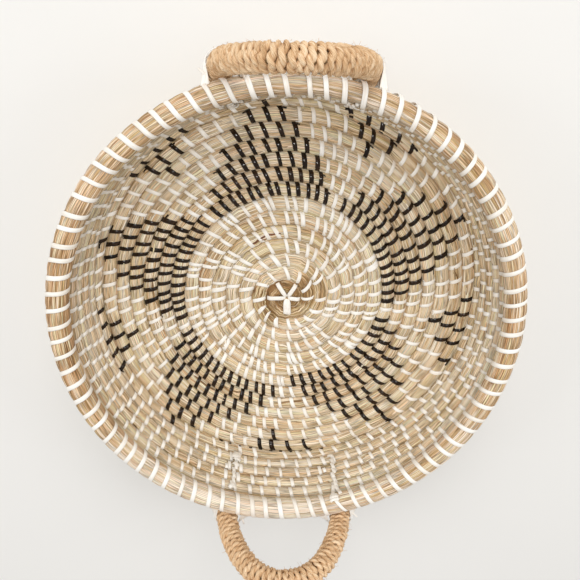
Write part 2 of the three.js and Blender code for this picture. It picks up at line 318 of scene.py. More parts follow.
def drawn_in(turn, angle):
    """How strongly a stitch draws the bundle in at each turn and direction, from 0 to 1, by how far
    along the coil the nearest strip is, on its way over the bundle or back under it."""
    over = np.clip((np.pi - angle) / np.pi, 0, 1) ** LEAN_CURVE
    under = np.clip(-angle / np.pi, 0, 1)
    girth = np.maximum(girth_at(turn), LEAST_GIRTH)
    lean = stitch_lean(turn) / girth
    gap = np.interp(turn, stitch_turn, stitch_gap)
    at = turn - np.where(angle >= 0, lean * over, lean + (gap - lean) * under)
    return np.exp(-((from_nearest(at, stitch_turn) * girth / STITCH_PULL_WIDTH) ** 2))


def coil_piece(name, first, last, step, sides=60):
    """One stretch of the coil, from one turn to another, cut into rings a step apart, and finer at
    the tip. At the centre the bundle is fuller, its blades are shorter and lie flatter, and the
    grass is dark in the first round and in two patches of the next."""
    ends = np.interp([first, last], coil_turns, coil_travel)
    travel = np.linspace(*ends, int((ends[1] - ends[0]) / step))
    if first == COIL_START:
        travel = np.unique(np.concatenate([np.linspace(0, TIP_LENGTH, 150), travel]))
    turn = np.interp(travel, coil_travel, coil_turns)
    along = travel + SHORTER_BLADES * np.minimum(travel, SHORTER_UNTIL)
    angle = directions(sides)
    middle, half, depth = coil_section(turn)
    half = half + OVERLAP + CENTRE_FULLER * np.exp(-((turn / 2.2) ** 2))
    pull = STITCH_PULL * (0.3 + 0.7 * np.sqrt(np.abs(np.sin(angle))))
    rise = BLADE_RISE * np.clip(0.2 + turn / 3, 0.2, 1)[:, None]
    reach = reach_of_bundle(angle, half[:, None], depth[:, None])
    reach = reach - pull * drawn_in(turn[:, None], angle)
    reach = reach + rise * blades(along, angle, BLADES_ROUND, seed=11) - SUNK
    patches = np.clip(0.5 + 1.2 * np.sin(4 * np.pi * turn - 0.7), 0, 1)
    patches = patches * np.exp(-((turn / PATCH_TURNS) ** 8))
    dark = DARK_TONE * np.maximum(np.exp(-((turn / DARK_TURNS) ** 6)), patches)
    tone = np.interp(travel, tone_knots, tone_steps) * np.clip(turn / 3 - 0.3, 0, 1) - dark
    return grass_bundle(name, turn, along, middle, reach, tone, COIL_GIRTH)


middle_coil = coil_piece("coil_of_the_inner_floor", COIL_START, MIDDLE_END, 2.3)
floor_coil = coil_piece("coil_of_the_outer_floor", MIDDLE_END, FLOOR_END, 2.3)
lower_wall = coil_piece("coil_of_the_lower_wall", FLOOR_END, WALL_MIDDLE, 2.5)
upper_wall = coil_piece("coil_of_the_upper_wall", WALL_MIDDLE, COIL_END, 2.5)


def linear(hex_colour):
    """An sRGB hex colour as the linear values that a shader takes."""
    parts = np.array([int(hex_colour[i : i + 2], 16) for i in (1, 3, 5)]) / 255
    return (*np.where(parts <= 0.04045, parts / 12.92, ((parts + 0.055) / 1.055) ** 2.4), 1.0)


def node(material, kind, settings, **inputs):
    """Adds a node with its settings and gives its outputs. The steps of a colour ramp are places
    with hex colours. Each input is a value or another node's output. An underscore in an input's
    name stands for a space, and i0, i1 and so on pick an input by its number."""
    made = material.node_tree.nodes.new("ShaderNode" + kind)
    steps = settings.get("steps", [])
    for key, value in settings.items():
        if key != "steps":
            setattr(made, key, value)
    while len(steps) > 2 and len(made.color_ramp.elements) < len(steps):
        made.color_ramp.elements.new(0.5)
    for i, (place, colour) in enumerate(steps):
        made.color_ramp.elements[i].position = place
        made.color_ramp.elements[i].color = linear(colour)
    for key, value in inputs.items():
        socket = made.inputs[int(key[1:]) if key[1:].isdigit() else key.replace("_", " ")]
        if isinstance(value, bpy.types.NodeSocket):
            material.node_tree.links.new(value, socket)
        else:
            socket.default_value = value
    return made.outputs


def bare_material(name):
    """A material with no nodes yet."""
    material = bpy.data.materials.new(name)
    material.use_nodes = True
    material.node_tree.nodes.clear()
    return material


def surfaced(material, **inputs):
    """The material, ended with its one surface."""
    surface = node(material, "BsdfPrincipled", {}, **inputs)
    node(material, "OutputMaterial", {}, Surface=surface[0])
    return material


LAY = {"uv_map": "lay"}
TONE = {"attribute_name": "tone"}
FLAT = {"noise_dimensions": "2D"}
TIMES = {"operation": "MULTIPLY"}
TIMES_PLUS = {"operation": "MULTIPLY_ADD"}
BLADE_HUES = [(0.0, "#F8FDEC"), (0.35, "#FFFFFF"), (0.7, "#FFFDFB"), (1.0, "#FFF3EC")]


def seagrass(name, steps):
    """Dry seagrass, sun-bleached: flat blades, straw yellow to brown and now and then greenish,
    matt with a faint waxy sheen. Each blade is a stretched cell of the pattern, 1.1 mm wide and some
    38 mm long, with a groove beside it that is darkened in the colour as painted shade. The fibres
    along it are really finer than a tenth of a millimetre, and are drawn 0.4 mm wide so that they
    show. The scales are per metre."""
    m = bare_material(name)
    lay = node(m, "UVMap", LAY)[0]
    slow = node(m, "VectorMath", TIMES, i0=lay, i1=(9.0, 40.0, 1.0))[0]
    drift = node(m, "TexNoise", FLAT, Vector=slow, Scale=1.0)[0]
    split = node(m, "SeparateXYZ", {}, i0=lay)
    wander = node(m, "Math", TIMES_PLUS, i0=drift, i1=0.0013, i2=split[1])[0]
    lines = node(m, "CombineXYZ", {}, i0=split[0], i1=wander)[0]
    cells = node(m, "VectorMath", TIMES, i0=lines, i1=(26.0, 1 / 0.0011, 1.0))[0]
    cell = {"voronoi_dimensions": "2D"}
    blade = node(m, "TexVoronoi", cell, Vector=cells, Scale=1.0, Randomness=0.9)["Color"]
    cell = {"voronoi_dimensions": "2D", "feature": "DISTANCE_TO_EDGE"}
    edge = node(m, "TexVoronoi", cell, Vector=cells, Scale=1.0, Randomness=0.9)[0]
    groove = node(m, "MapRange", {}, i0=edge, i2=0.20)[0]
    fine = node(m, "VectorMath", TIMES, i0=lines, i1=(60.0, 1 / 0.00042, 1.0))[0]
    fibre = node(m, "TexNoise", FLAT, Vector=fine, Scale=1.0, Detail=3.0, Roughness=0.6)[0]
    wide = node(m, "VectorMath", TIMES, i0=lay, i1=(9.0, 130.0, 1.0))[0]
    broad = node(m, "TexNoise", FLAT, Vector=wide, Scale=1.0)[0]
    # The tone attribute holds the grass's own tone, and on the rim also painted light towards the front and
    # the back.
    tone = node(m, "Attribute", TONE)["Fac"]
    own = node(m, "SeparateColor", {}, i0=blade)
    pick = node(m, "Math", TIMES_PLUS, i0=own[0], i1=0.42, i2=-0.235)[0]
    for part, weight in ((fibre, 1.15), (broad, 0.35), (tone, 0.16)):
        pick = node(m, "Math", TIMES_PLUS, i0=part, i1=weight, i2=pick)[0]
    colour = node(m, "ValToRGB", {"steps": steps}, i0=pick)[0]
    # The grooves between blades are darkened in the colour: painted shade.
    shade = node(m, "MapRange", {}, i0=groove, i3=0.46)[0]
    colour = node(m, "VectorMath", {"operation": "SCALE"}, Vector=colour, Scale=shade)[0]
    hue = node(m, "ValToRGB", {"steps": BLADE_HUES}, i0=own[1])[0]
    colour = node(m, "VectorMath", TIMES, i0=colour, i1=hue)[0]
    rise = node(m, "Math", TIMES_PLUS, i0=fibre, i1=0.45, i2=groove)[0]
    bump = node(m, "Bump", {}, Height=rise, Strength=0.75, Distance=0.00045)[0]
    rough = node(m, "MapRange", {}, i0=fibre, i1=0.3, i2=0.7, i3=0.55, i4=0.75)[0]
    return surfaced(m, Base_Color=colour, Roughness=rough, Normal=bump, IOR=1.45, Specular_IOR_Level=0.35)


GRASS_STEPS = [(0.26, "#967146"), (0.43, "#CBA676"), (0.56, "#EACDA4"), (0.70, "#F6DFBB"), (1.0, "#FFF4E0")]
coil_grass = seagrass("dry_seagrass", GRASS_STEPS)
for coil in (middle_coil, floor_coil, lower_wall, upper_wall):
    coil.data.materials.append(coil_grass)
    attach(coil, "root")
    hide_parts("wall_coil" if "wall" in coil.name else "floor_coil")


# The rim. One thicker round of browner grass that closes the wall's top edge. Its two ends are
# thinned to wedges and laid over each other beneath the back handle, so the joint hardly shows.

RIM_DIAMETER = 16.5
RIM_GAP = 0.5
RIM_TIP = 3.0
RIM_SEAM = (60.0 - START_ANGLE) / 360
SCARF = 45 / 360
RIM_STITCHES = 85
RIM_FULLNESS = 2.2
RIM_BLADES = 25
RIM_BLADE_RISE = 0.5
RIM_SUNK = 0.25
RIM_LEAN = 6.2
RIM_PULL = 0.6
RIM_PULL_WIDTH = 2.6
RIM_TONE_STEP = 60.0
RIM_TONE = -0.6
# Painted light: the rim's grass is made paler towards the front and the back of the tray.
PAINTED_LIGHT_AT_FRONT = 2.2
PAINTED_LIGHT_AT_BACK = 1.4
PAINTED_LIGHT_REACH = 0.42
RIM_PATTERN_GIRTH = 52.0
RIM_LOW = WALL_TOP + RIM_GAP
RIM_MIDDLE = RIM_LOW + RIM_DIAMETER / 2
rim_point = tray_point(RIM_MIDDLE, 0.0, 0.0) / MM
RIM_HEIGHT = rim_point[2]
RIM_RADIUS = np.hypot(rim_point[0], rim_point[1])
RIM_GIRTH = 2 * np.pi * RIM_RADIUS

SPARE = 3
rim_places = np.arange(RIM_STITCHES + 4 * SPARE) - SPARE
rim_stitch_turn = RIM_SEAM + (rim_places + chance.normal(0, 0.05, len(rim_places))) / RIM_STITCHES


def rim_piece(name, step=2.8, sides=88):
    """The rim's skin: one round and the overlap, its section cut to a wedge over the first and last
    eighth of a round. The grass is painted paler at the front and at the back: painted light."""
    travel = np.linspace(0, RIM_GIRTH * (1 + SCARF), int(RIM_GIRTH * (1 + SCARF) / step))
    turn = RIM_SEAM + travel / RIM_GIRTH
    start, end = (turn - RIM_SEAM) / SCARF, (turn - RIM_SEAM - 1) / SCARF
    growth = RIM_DIAMETER - 2 * RIM_TIP - RIM_GAP
    rising = RIM_TIP + growth * start + RIM_TIP * np.clip(start * 8 - 7, 0, 1)
    falling = (RIM_TIP + RIM_GAP) * np.clip(end * 8 + 1, 0, 1) + growth * np.maximum(end, 0)
    high, low = RIM_LOW + np.minimum(rising, RIM_DIAMETER), RIM_LOW + falling
    half = (high - low) / 2
    depth = np.minimum(RIM_DIAMETER / 2, RIM_DIAMETER / 4 + half / 2)
    angle = directions(sides)
    at = turn[:, None] - RIM_LEAN / RIM_GIRTH * np.clip((np.pi - angle) / np.pi, 0, 1)
    drawn = np.exp(-((from_nearest(at, rim_stitch_turn) * RIM_GIRTH / RIM_PULL_WIDTH) ** 2))
    reach = reach_of_bundle(angle, half[:, None], depth[:, None], RIM_FULLNESS) - RIM_PULL * drawn
    reach = reach + RIM_BLADE_RISE * blades(travel, angle, RIM_BLADES, seed=5) - RIM_SUNK
    # Painted light: the tone rises towards the front and the back of the tray.
    from_front = np.pi * (turn + (START_ANGLE + 90) / 360)
    painted_light_at_front = np.exp(-((np.sin(from_front) / PAINTED_LIGHT_REACH) ** 2))
    painted_light_at_back = np.exp(-((np.cos(from_front) / PAINTED_LIGHT_REACH) ** 2))
    knots = np.arange(0, travel[-1] + 200, RIM_TONE_STEP)
    change = np.interp(travel, knots, chance.normal(0, 0.3, len(knots)))
    tone = RIM_TONE + PAINTED_LIGHT_AT_FRONT * painted_light_at_front + PAINTED_LIGHT_AT_BACK * painted_light_at_back + change
    return grass_bundle(name, turn, travel, (low + high) / 2, reach, tone, RIM_PATTERN_GIRTH)


rim = rim_piece("rim_of_grass")
RIM_STEPS = [(0.30, "#8F693E"), (0.47, "#BC9263"), (0.6, "#DCB487"), (0.76, "#F1D4AF"), (0.95, "#FFF0DC")]
rim.data.materials.append(seagrass("dry_seagrass_of_the_rim", RIM_STEPS))
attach(rim, "root")
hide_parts("rim_coil")


# The stitches. Each is one pass of a flat white or black strip, about 3 mm wide, round one round
# of the coil. It comes up beside the round before, crosses this one at a lean, dives behind it and
# comes up again at the next stitch. Five white ones meet at the centre of the floor in a star.

STRIP_WIDTH = 3.2
BLACK_WIDER = 0.3
RIM_STRIP_WIDTH = 3.6
STAR_WIDTH, DOUBLE_WIDTH = 3.7, 6.6
STAR_END = 16.8
STRIP_THICKNESS = 0.34
BAND_ACROSS = np.array([-0.5, -0.4, 0.4, 0.5])
BAND_LIFT = np.array([0.1, 0.8, 0.8, 0.1])
TABLE_CLEARANCE = 0.02
STRIP_LOWEST = 0.22
UNPRESSED = -9
ADDED_BACK = 1.98
RIM_TUCK = 0.35


def unit(arrows):
    """Arrows of the same directions, each one unit long."""
    return arrows / (np.linalg.norm(arrows, axis=-1, keepdims=True) + 1e-12)


def skin_line(middle, reach, angle, turn, lowest=LOWEST):
    """Lines on a bundle's skin, and the direction out of the skin at each of their points."""
    line = skin_point(middle, reach, angle, turn, lowest)
    return line, unit(skin_point(middle, reach + 1, angle, turn, lowest) - line)


def bands(middle, outward, width, thickness=STRIP_THICKNESS):
    """Flat strips along middle lines: at each step four points across, the two at the edges folded
    down, in the plane square to the strip's run. Takes and gives arrays of strips by steps by
    three."""
    side = unit(np.cross(np.gradient(middle, axis=1), outward))
    across = side[:, :, None] * (BAND_ACROSS[:, None] * width[:, :, None, None]) * MM
    up = outward[:, :, None] * (BAND_LIFT[:, None] * thickness) * MM
    points = middle[:, :, None] + across + up
    points[..., 2] = np.maximum(points[..., 2], TABLE_CLEARANCE * MM)
    return points


def band_piece(name, points, length=1.0, width=1.0):
    """All strips as one mesh: four faces round each step of a strip, its two ends closed, and each
    strip with a random tone of its own. A face on the underside starts from its second corner, so
    that it is split along the same diagonal as the one above it. The pattern's length and width are
    a strip's own, and each strip has another stretch of it."""
    strips, steps = points.shape[:2]
    faces, places = tube_faces(steps, 4)
    for corners in (faces, places):
        corners[3 : 4 * (steps - 1) : 4] = np.roll(corners[3 : 4 * (steps - 1) : 4], -1, axis=1)
    lay = np.stack([places[..., 0] / (steps - 1) * length, places[..., 1] / 3 * width], -1)
    lay = (lay[None] + (np.arange(strips)[:, None] * [0.37, 0.0])[:, None, None]).reshape(-1, 4, 2)
    faces = (faces[None] + (np.arange(strips) * steps * 4)[:, None, None]).reshape(-1, 4)
    tone = np.repeat(chance.normal(0, 1, strips), steps * 4)
    return mesh_piece(name, points.reshape(-1, 3), faces, lay, tone)


def stitch_bands(chosen):
    """The chosen stitches: each goes over the round from its inner to its outer side while it leans
    along the coil, then under it to where the next stitch starts. One that was slipped in starts
    further back. The line hugs the bundle, and faces as the bundle did before it was pressed flat."""
    turn, gap, width = stitch_turn[chosen, None], stitch_gap[chosen, None], strip_width[chosen, None]
    over, under = np.linspace(0, 1, 9), np.linspace(0, 1, 9)[1:]
    angle = np.concatenate([np.pi - np.pi * over, -np.pi * under])
    lean = stitch_lean(turn) * (1 + chance.normal(0, 0.18, turn.shape)) / girth_at(turn)
    start = turn - ADDED_BACK * stitch_added[chosen, None] / girth_at(turn)
    leaning = start + (turn + lean - start) * over**LEAN_CURVE
    at = np.concatenate([leaning, turn + lean + (gap - lean) * under], 1)
    middle, half, depth = coil_section(at)
    reach = reach_of_bundle(angle, half + 0.2, depth) - 0.25
    line = skin_point(middle, reach, angle, at, STRIP_LOWEST)
    outward = skin_line(middle, reach, angle, at, UNPRESSED)[1]
    narrow = 0.9 + 0.1 * np.sqrt(np.clip(np.sin(np.pi * np.concatenate([over, under])), 0, 1))
    return bands(line, outward, width * narrow)


def star_bands(turn):
    """The five stitches of the centre, from the middle of the floor straight out over the first
    round, each end dipping between the rounds. The one at the bottom lies double."""
    share = np.linspace(0, 1, 12)
    middle, half, _ = coil_section(turn)
    length = 0.6 + (np.minimum(middle + half - 0.6, STAR_END)[:, None] - 0.6) * share
    rise = COIL_DEPTH + 0.15 - 2.6 * np.abs(2 * share - 1) ** 5
    line = tray_point(length, rise, turn[:, None])
    width = np.where(turn > 0.8, DOUBLE_WIDTH, STAR_WIDTH)[:, None] * (0.6 + 0.4 * np.minimum(share * 4, 1))
    return bands(line, [0.0, 0.0, 1.0] + 0 * line, width)


def rim_bands(turn):
    """The rim's stitches: wider strips that start in the wall's top round, lean over the rim and go
    back under it. They are lifted where the rim's two ends overlap."""
    turn = turn[:, None]
    over, under = np.linspace(0, 1, 11), np.linspace(0, 1, 8)[1:]
    crossing = np.pi + RIM_TUCK - (np.pi + 2 * RIM_TUCK) * over
    angle = np.concatenate([crossing, -RIM_TUCK - (np.pi - 2 * RIM_TUCK) * under])
    lean = RIM_LEAN / RIM_GIRTH * (1 + chance.normal(0, 0.08, turn.shape))
    at = np.concatenate([turn + lean * over, turn + lean + (1 / RIM_STITCHES - lean) * under], 1)
    lift = np.where(turn - RIM_SEAM < SCARF + 0.01, 0.25, -0.1)
    reach = reach_of_bundle(angle, RIM_DIAMETER / 2, RIM_DIAMETER / 2, RIM_FULLNESS) + lift
    line, outward = skin_line(RIM_MIDDLE, reach, angle, at)
    return bands(line, outward, RIM_STRIP_WIDTH * (1 + chance.normal(0, 0.05, turn.shape)) + 0 * at)


def tucked_ends(turn, ahead, outer):
    """Ends of strips, each tucked along the coil where the colour changes: a short flat piece that
    starts at a stitch and runs ahead or back, at the outer or inner side of the round."""
    turn = turn[:, None]
    reach = chance.uniform(3.0, 6.5, turn.shape) * ahead * np.linspace(-0.1, 1, 7)
    at = turn + (stitch_lean(turn) * (0.85 if outer else 0.1) + reach) / girth_at(turn)
    side = (0.72 if outer else 2.42) + chance.normal(0, 0.12, turn.shape)
    side = side + 0.12 * np.linspace(-1, 1, 7) ** 2
    middle, half, depth = coil_section(at)
    line, outward = skin_line(middle, reach_of_bundle(side, half, depth) + 0.1, side, at)
    return bands(line, outward, chance.uniform(0.9, 1.9, turn.shape) + 0 * at)


def turn_towards(point):
    """The turn, from 0 to 1, at which the coil passes a point: its direction from the tray's axis,
    counted from the start angle."""
    return (np.degrees(np.arctan2(point[1], point[0])) - START_ANGLE) / 360 % 1


strip_width = STRIP_WIDTH * (1 + chance.normal(0, 0.09, len(stitch_turn))) + BLACK_WIDER * stitch_black
white_points = stitch_bands(~in_star & ~stitch_black)
black_points = stitch_bands(stitch_black)

first_black = np.flatnonzero(~stitch_black[:-1] & stitch_black[1:]) + 1
last_black = np.flatnonzero(stitch_black[:-1] & ~stitch_black[1:])
crease = PATTERN_START + PATTERN_ROUNDS + np.linspace(-0.062, 0.035, 11)
black_ends = [tucked_ends(stitch_turn[first_black], -1, True)]
black_ends += [tucked_ends(stitch_turn[last_black], 0.7, True)]
crease_ends = tucked_ends(crease, 0.45, False)
white_ends = [tucked_ends(stitch_turn[first_black - 1], 0.6, False)]
white_ends += [tucked_ends(stitch_turn[last_black + 1], -0.7, False)]
black_ends, white_ends = np.concatenate(black_ends), np.concatenate(white_ends)

white_stitches = band_piece("white_stitches", white_points)
black_stitches = band_piece("black_stitches", black_points)
star_stitches = band_piece("white_star_of_the_centre", star_bands(STAR_TURNS))

# One stitch of the rim is left out, where a tie crosses the rim at the front right leg.
tied_turn = turn_towards(np.mean(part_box("front_right_upper_lashing"), axis=0))
rim_stitch_turn = rim_stitch_turn[SPARE : SPARE + RIM_STITCHES]
left_out = np.argmin(np.abs(rim_stitch_turn - tied_turn + 0.002))
rim_stitches = band_piece("white_stitches_of_the_rim", rim_bands(np.delete(rim_stitch_turn, left_out)))
black_ends = np.concatenate([black_ends[chance.random(len(black_ends)) < 0.8], crease_ends])
black_tails = band_piece("tucked_ends_of_black_strip", black_ends)
white_tails = band_piece("tucked_ends_of_white_strip", white_ends[chance.random(len(white_ends)) < 0.45])


def strip_material(name, steps, roughness, relief, gloss):
    """A flat strip with fine lines along it, fourteen to its width or some 0.2 mm each, and a
    little change of colour from strip to strip. The dyed one is glossy, so that each stitch shows a
    small bright spot where it is highest."""
    m = bare_material(name)
    lay = node(m, "UVMap", LAY)[0]
    tone = node(m, "Attribute", TONE)["Fac"]
    moved = node(m, "CombineXYZ", {}, i2=tone)[0]
    stretched = node(m, "VectorMath", TIMES_PLUS, i0=lay, i1=(6.0, 14.0, 1.0), i2=moved)[0]
    lines = node(m, "TexNoise", {}, Vector=stretched, Scale=1.0, Detail=3.0)[0]
    pick = node(m, "Math", TIMES_PLUS, i0=tone, i1=0.08, i2=lines)[0]
    colour = node(m, "ValToRGB", {"steps": steps}, i0=pick)[0]
    bump = node(m, "Bump", {}, Height=lines, Strength=relief, Distance=0.00025)[0]
    return surfaced(
        m, Base_Color=colour, Roughness=roughness, Normal=bump, IOR=1.48, Specular_IOR_Level=gloss
    )


WHITE_STEPS = [(0.25, "#ECE3D6"), (0.5, "#F8F3EA"), (0.75, "#FDFAF4")]
BLACK_STEPS = [(0.25, "#120A04"), (0.5, "#21150A"), (0.75, "#352212")]
white_strip = strip_material("white_strip", WHITE_STEPS, 0.45, 0.5, 0.4)
black_strip = strip_material("black_dyed_strip", BLACK_STEPS, 0.17, 0.05, 0.36)
for stitches in (white_stitches, black_stitches, star_stitches, rim_stitches, black_tails, white_tails):
    stitches.data.materials.append(black_strip if "black" in stitches.name else white_strip)
    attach(stitches, "root")


# Loose blades. Not every blade stays in its bundle: some lie across the round, or stand off with
# a free end between two stitches. A red-brown one lies in the plain inner field.

LOOSE = 560


def loose_blades(name, turn, direction, drift, length, width, lift):
    """Single blades of grass on the coil. Each follows it for some way while it drifts round the
    bundle, sinks where a stitch holds it down, and may lift at its end. All sizes are columns, with
    a row for each blade."""
    share = np.linspace(0, 1, 17)
    at = turn + length * (share - 0.5) / girth_at(turn)
    angle = direction + drift * (share - 0.5) + 0.06 * np.sin(7 * share + 40 * turn)
    middle, half, depth = coil_section(at)
    reach = reach_of_bundle(angle, half, depth) + 0.12 - 0.75 * drawn_in(at, angle)
    reach = reach + lift * np.clip(share * 4 - 3, 0, 1) ** 1.5
    taper = np.clip(np.sin(np.pi * (0.06 + 0.88 * share)) * 2.2, 0, 1)
    return band_piece(name, bands(*skin_line(middle, reach, angle, at), width * taper, 0.2), 0.02, 0.0011)


spread, around, drift, longer, wider = chance.random((5, LOOSE, 1))
straw = loose_blades(
    "loose_blades_of_grass",
    (1.0 + (COIL_END - 1.6) ** 2 * spread) ** 0.5,
    0.45 + 2.2 * around,
    1.1 * (drift - 0.5),
    9 + 19 * longer,
    0.7 + 0.9 * wider,
    np.where(drift > 0.8, 2.0 * longer, 0.1),
)
straw.data.materials.append(coil_grass)
fleck_sizes = np.array([[4.43, 1.7, 0.3, 26.0, 1.5, 0.0], [4.45, 2.0, -0.2, 15.0, 1.1, 0.0]])
fleck = loose_blades("red_brown_blade", *fleck_sizes.T[..., None])
FLECK_STEPS = [(0.0, "#5B3222"), (0.5, "#84523A"), (1.0, "#A87858")]
fleck.data.materials.append(seagrass("red_brown_seagrass", FLECK_STEPS))
for loose in (straw, fleck):
    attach(loose, "root")


# The handles. Each is a stiff cane bent to an arch, with its legs outside the wall, and bound from
# foot to foot with twine in fifty-eight close turns. The twine has two plies, each a smooth cord
# that twists round the other, and short hairs stand off it.

HALF_SPAN = 52.0
FOOT_HEIGHT = 24.0
ARCH_RISE = 111.3
ROUNDNESS = 2.15
LEAN_ABOVE = np.radians(2.0)
EASING = 8.0
CORE_RADIUS = 4.25
TWINE_DIAMETER = 4.5
BAR_RADIUS = CORE_RADIUS + TWINE_DIAMETER
SEAT = 0.35
TWINE_TURNS = 58
TWINE_MARGIN = 2.4
TWIST_PITCH = 12.5
PLY_RADIUS = 1.62
PLY_APART = 0.98
PLY_GIRTH = 7.6
PLY_SHARE = 0.59
HAIRS = 520


def wall_face(height):
    """How far the wall's outer face is from the tray's axis at a height: the end of the bend, what
    the wall's slope adds above it, and half the coil's thickness."""
    base = FLOOR_RADIUS + BEND_RADIUS * np.sin(BEND_ANGLE)
    return base + (height - WALL_FOOT_HEIGHT) / np.tan(BEND_ANGLE) + COIL_DEPTH / np.sin(BEND_ANGLE)


def leg_sweep(height):
    """How far the arch has swept from its foot when a leg reaches a height: the arc sine of a power
    of the height's share of the rise."""
    return np.arcsin(((height - FOOT_HEIGHT) / ARCH_RISE) ** (ROUNDNESS / 2))


def leg_spread(sweep):
    """Half the distance between the legs at a sweep: the half span times a power of the cosine."""
    return HALF_SPAN * np.abs(np.cos(sweep)) ** (2 / ROUNDNESS)


rim_stand = RIM_RADIUS + RIM_DIAMETER / 2 + SEAT + BAR_RADIUS
rim_stand = np.sqrt(rim_stand**2 - leg_spread(leg_sweep(RIM_HEIGHT)) ** 2)
foot_stand = np.sqrt((wall_face(FOOT_HEIGHT) + SEAT + BAR_RADIUS) ** 2 - HALF_SPAN**2)
LEG_SLOPE = (rim_stand - foot_stand) / (RIM_HEIGHT - FOOT_HEIGHT)


def handle_line(sweep):
    """The arch's middle line by its sweep from foot to foot: an oval in front view. Seen from the
    side it leans as the wall does up to the rim, and eases to nearly upright above it."""
    x = np.sign(np.cos(sweep)) * leg_spread(sweep)
    z = FOOT_HEIGHT + ARCH_RISE * np.abs(np.sin(sweep)) ** (2 / ROUNDNESS)
    eased = EASING * (np.logaddexp(0, (z - RIM_HEIGHT) / EASING) - np.log(2))
    y = rim_stand + LEG_SLOPE * (z - RIM_HEIGHT) + (np.tan(LEAN_ABOVE) - LEG_SLOPE) * eased
    return np.stack([x, y, z], -1)


arch_points = handle_line(np.pi * (0.5 - 0.5 * np.cos(np.linspace(0, np.pi, 8001))))
arch_steps = np.linalg.norm(np.diff(arch_points, axis=0), axis=1)
arch_travel = np.concatenate([[0], np.cumsum(arch_steps)])
ARCH_LENGTH = arch_travel[-1]


def arch_point(travel):
    """The point of the arch's middle line at a distance along it."""
    return np.stack([np.interp(travel, arch_travel, part) for part in arch_points.T], -1)


def arch_frame(travel, span=2.5):
    """Point, outward and sideways directions and run of the arch at a distance along it, and how
    sharply it bends, from the points a short span ahead and behind."""
    near = np.clip(travel, span, ARCH_LENGTH - span)
    ahead, behind = arch_point(near + span) - arch_point(near), arch_point(near) - arch_point(near - span)
    run = unit(ahead + behind)
    sideways = unit(np.array([0.0, 1.0, 0.0]) - run * run[..., 1:2])
    return arch_point(travel), np.cross(run, sideways), sideways, run, (unit(ahead) - unit(behind)) / span


def twine(name, side, steps_per_turn=34, sides=8):
    """Both plies of the twine on one handle. The twine's middle winds round the bar; each ply is a
    small tube that twists round that middle, opposite the other, and is pressed flat along the bar
    where the arch's inside crowds the turns."""
    steps = TWINE_TURNS * steps_per_turn
    wind = np.linspace(0, 2 * np.pi * TWINE_TURNS, steps)
    bound = ARCH_LENGTH - 2 * TWINE_MARGIN
    loose = np.interp(wind, np.linspace(0, wind[-1], 80), np.append(chance.normal(0, 0.3, 79), 0.0))
    travel = TWINE_MARGIN + bound * wind / wind[-1] + loose * np.minimum(wind / 9, 1)
    point, outward, sideways, run, bend = arch_frame(travel)
    radial = -np.cos(wind)[:, None] * sideways + np.sin(wind)[:, None] * outward
    knots = np.arange(0, wind[-1] + 3, 1.3)
    middle = BAR_RADIUS - TWINE_DIAMETER / 2 + np.interp(wind, knots, chance.normal(0, 0.14, len(knots)))
    tone = np.interp(wind, knots, chance.normal(0, 0.6, len(knots)))
    crowd = 1 - middle * np.sum(radial * bend, -1)
    half_wide = PLY_SHARE * bound / TWINE_TURNS * crowd / (PLY_RADIUS + PLY_APART)
    twist = wind * middle.mean() / TWIST_PITCH * 2 * np.pi
    twist = -(twist + 0.9 * np.sin(wind * 0.31) + 0.6 * np.sin(wind * 0.83))
    round_ply = np.linspace(0, 2 * np.pi, sides, endpoint=False)
    plies, tones_with_painted_light = [], []
    for half_turn in (0, np.pi):
        out = np.cos(twist + half_turn)[:, None] * PLY_APART + np.cos(round_ply) * PLY_RADIUS
        along = np.sin(twist + half_turn)[:, None] * PLY_APART + np.sin(round_ply) * PLY_RADIUS
        off_bar = radial[:, None] * (middle[:, None] + out)[..., None]
        plies.append(point[:, None] + off_bar + run[:, None] * (along * half_wide[:, None])[..., None])
        # Painted light and shade: each ply's tone rises with how far it stands out from the bar, paler on
        # the crests and darker between the turns.
        tones_with_painted_light.append(tone[:, None] + 1.3 * np.minimum(out, 1.6))
    points = np.concatenate(plies) * MM * [side, side, 1]
    faces, places = tube_faces(steps, sides)
    lay = [(wind * middle.mean())[places[..., 0]], places[..., 1] / sides * PLY_GIRTH]
    lay = np.stack(lay, -1) * MM
    faces, lay = np.concatenate([faces, faces + steps * sides]), np.concatenate([lay, lay + [0.37, 0.0]])
    return mesh_piece(name, points.reshape(-1, 3), faces, lay, np.concatenate(tones_with_painted_light))


def fuzz(name, side):
    """Short hairs that stand off the twine, each slightly curved and laid aslant along the
    winding."""
    place, slant, around, swing, off = chance.random((5, HAIRS, 1))
    share = np.linspace(0, 1, 5)
    travel = 6 + (ARCH_LENGTH - 12) * place + (slant - 0.5) * 5 * share
    point, outward, sideways = arch_frame(travel)[:3]
    angle = (2 * np.pi * around + (swing - 0.3) * 0.75 * share)[..., None]
    radial = -np.cos(angle) * sideways + np.sin(angle) * outward
    stand = BAR_RADIUS - 0.2 + (0.4 + 3.0 * off**3) * share**1.5
    line = (point + radial * stand[..., None]) * MM * [side, side, 1]
    return band_piece(name, bands(line, radial * [side, side, 1], 0.2 + 0 * travel, 0.1), 0.004, 0.0002)


back_twine = twine("twine_of_the_back_handle", 1)
front_twine = twine("twine_of_the_front_handle", -1)
back_fuzz = fuzz("loose_hairs_of_the_back_handle", 1)
front_fuzz = fuzz("loose_hairs_of_the_front_handle", -1)


